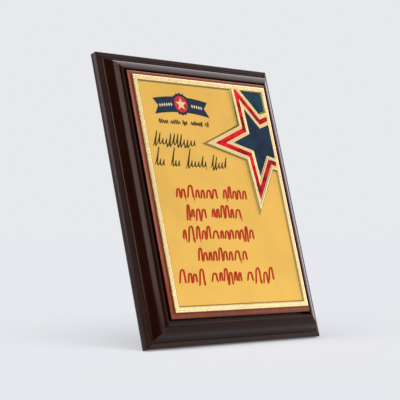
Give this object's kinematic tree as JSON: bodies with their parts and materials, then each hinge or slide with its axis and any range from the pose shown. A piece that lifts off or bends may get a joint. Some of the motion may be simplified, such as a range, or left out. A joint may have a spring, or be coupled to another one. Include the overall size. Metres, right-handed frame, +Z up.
{
  "type": "award plaque",
  "caption": "Rectangular wooden award plaque leaning back on a hinged easel strut: dark moulded frame, raised panel and an embossed gold-tone plate with a cropped enamelled star.",
  "frame": {"origin": "on the table, in the middle of the plaque's footprint between its front and the rear of the strut's foot", "axes": "+Z up, +X to the viewer's right when facing the plate, +Y away from the viewer, so the plate faces -Y and leans 15.6 degrees back towards +Y"},
  "size_m": [0.2, 0.1036, 0.2425],
  "materials": {
    "espresso_lacquer": "gloss",
    "redwood_lacquer": "gloss",
    "fibreboard": "matte",
    "adhesive_sheet": "matte",
    "gold_plate": "satin",
    "enamel_navy": "gloss",
    "enamel_red": "gloss",
    "ink_black": "satin",
    "ink_red": "satin",
    "flocked_black": "matte",
    "strut_black": "satin",
    "zinc_steel": "satin",
    "black_rubber": "matte"
  },
  "bodies": {
    "board": {"core_board": "fibreboard", "rail_bottom": "espresso_lacquer", "rail_top": "espresso_lacquer", "rail_left": "espresso_lacquer", "rail_right": "espresso_lacquer", "corner_v_nails": "zinc_steel", "centre_panel": "redwood_lacquer", "plate_adhesive": "adhesive_sheet", "award_plate": "gold_plate", "star_enamel": "enamel_navy", "band_enamel": "enamel_red", "corner_enamel": "enamel_navy", "back_cover": "flocked_black", "strut_bracket": "zinc_steel", "strut_pin": "zinc_steel", "bracket_screws": "zinc_steel", "hanger_strip": "zinc_steel", "hanger_nails": "zinc_steel", "wall_bumpers": "black_rubber"},
    "strut": {"strut_leg": "strut_black", "strut_foot_pad": "black_rubber"}
  },
  "joints": [
    {"name": "strut_hinge", "type": "hinge", "parent": "board", "child": "strut", "pos_m": [0, 0.0066, 0.14302], "axis": [-1, 0, 0], "range_deg": [0, 32]}
  ]
}
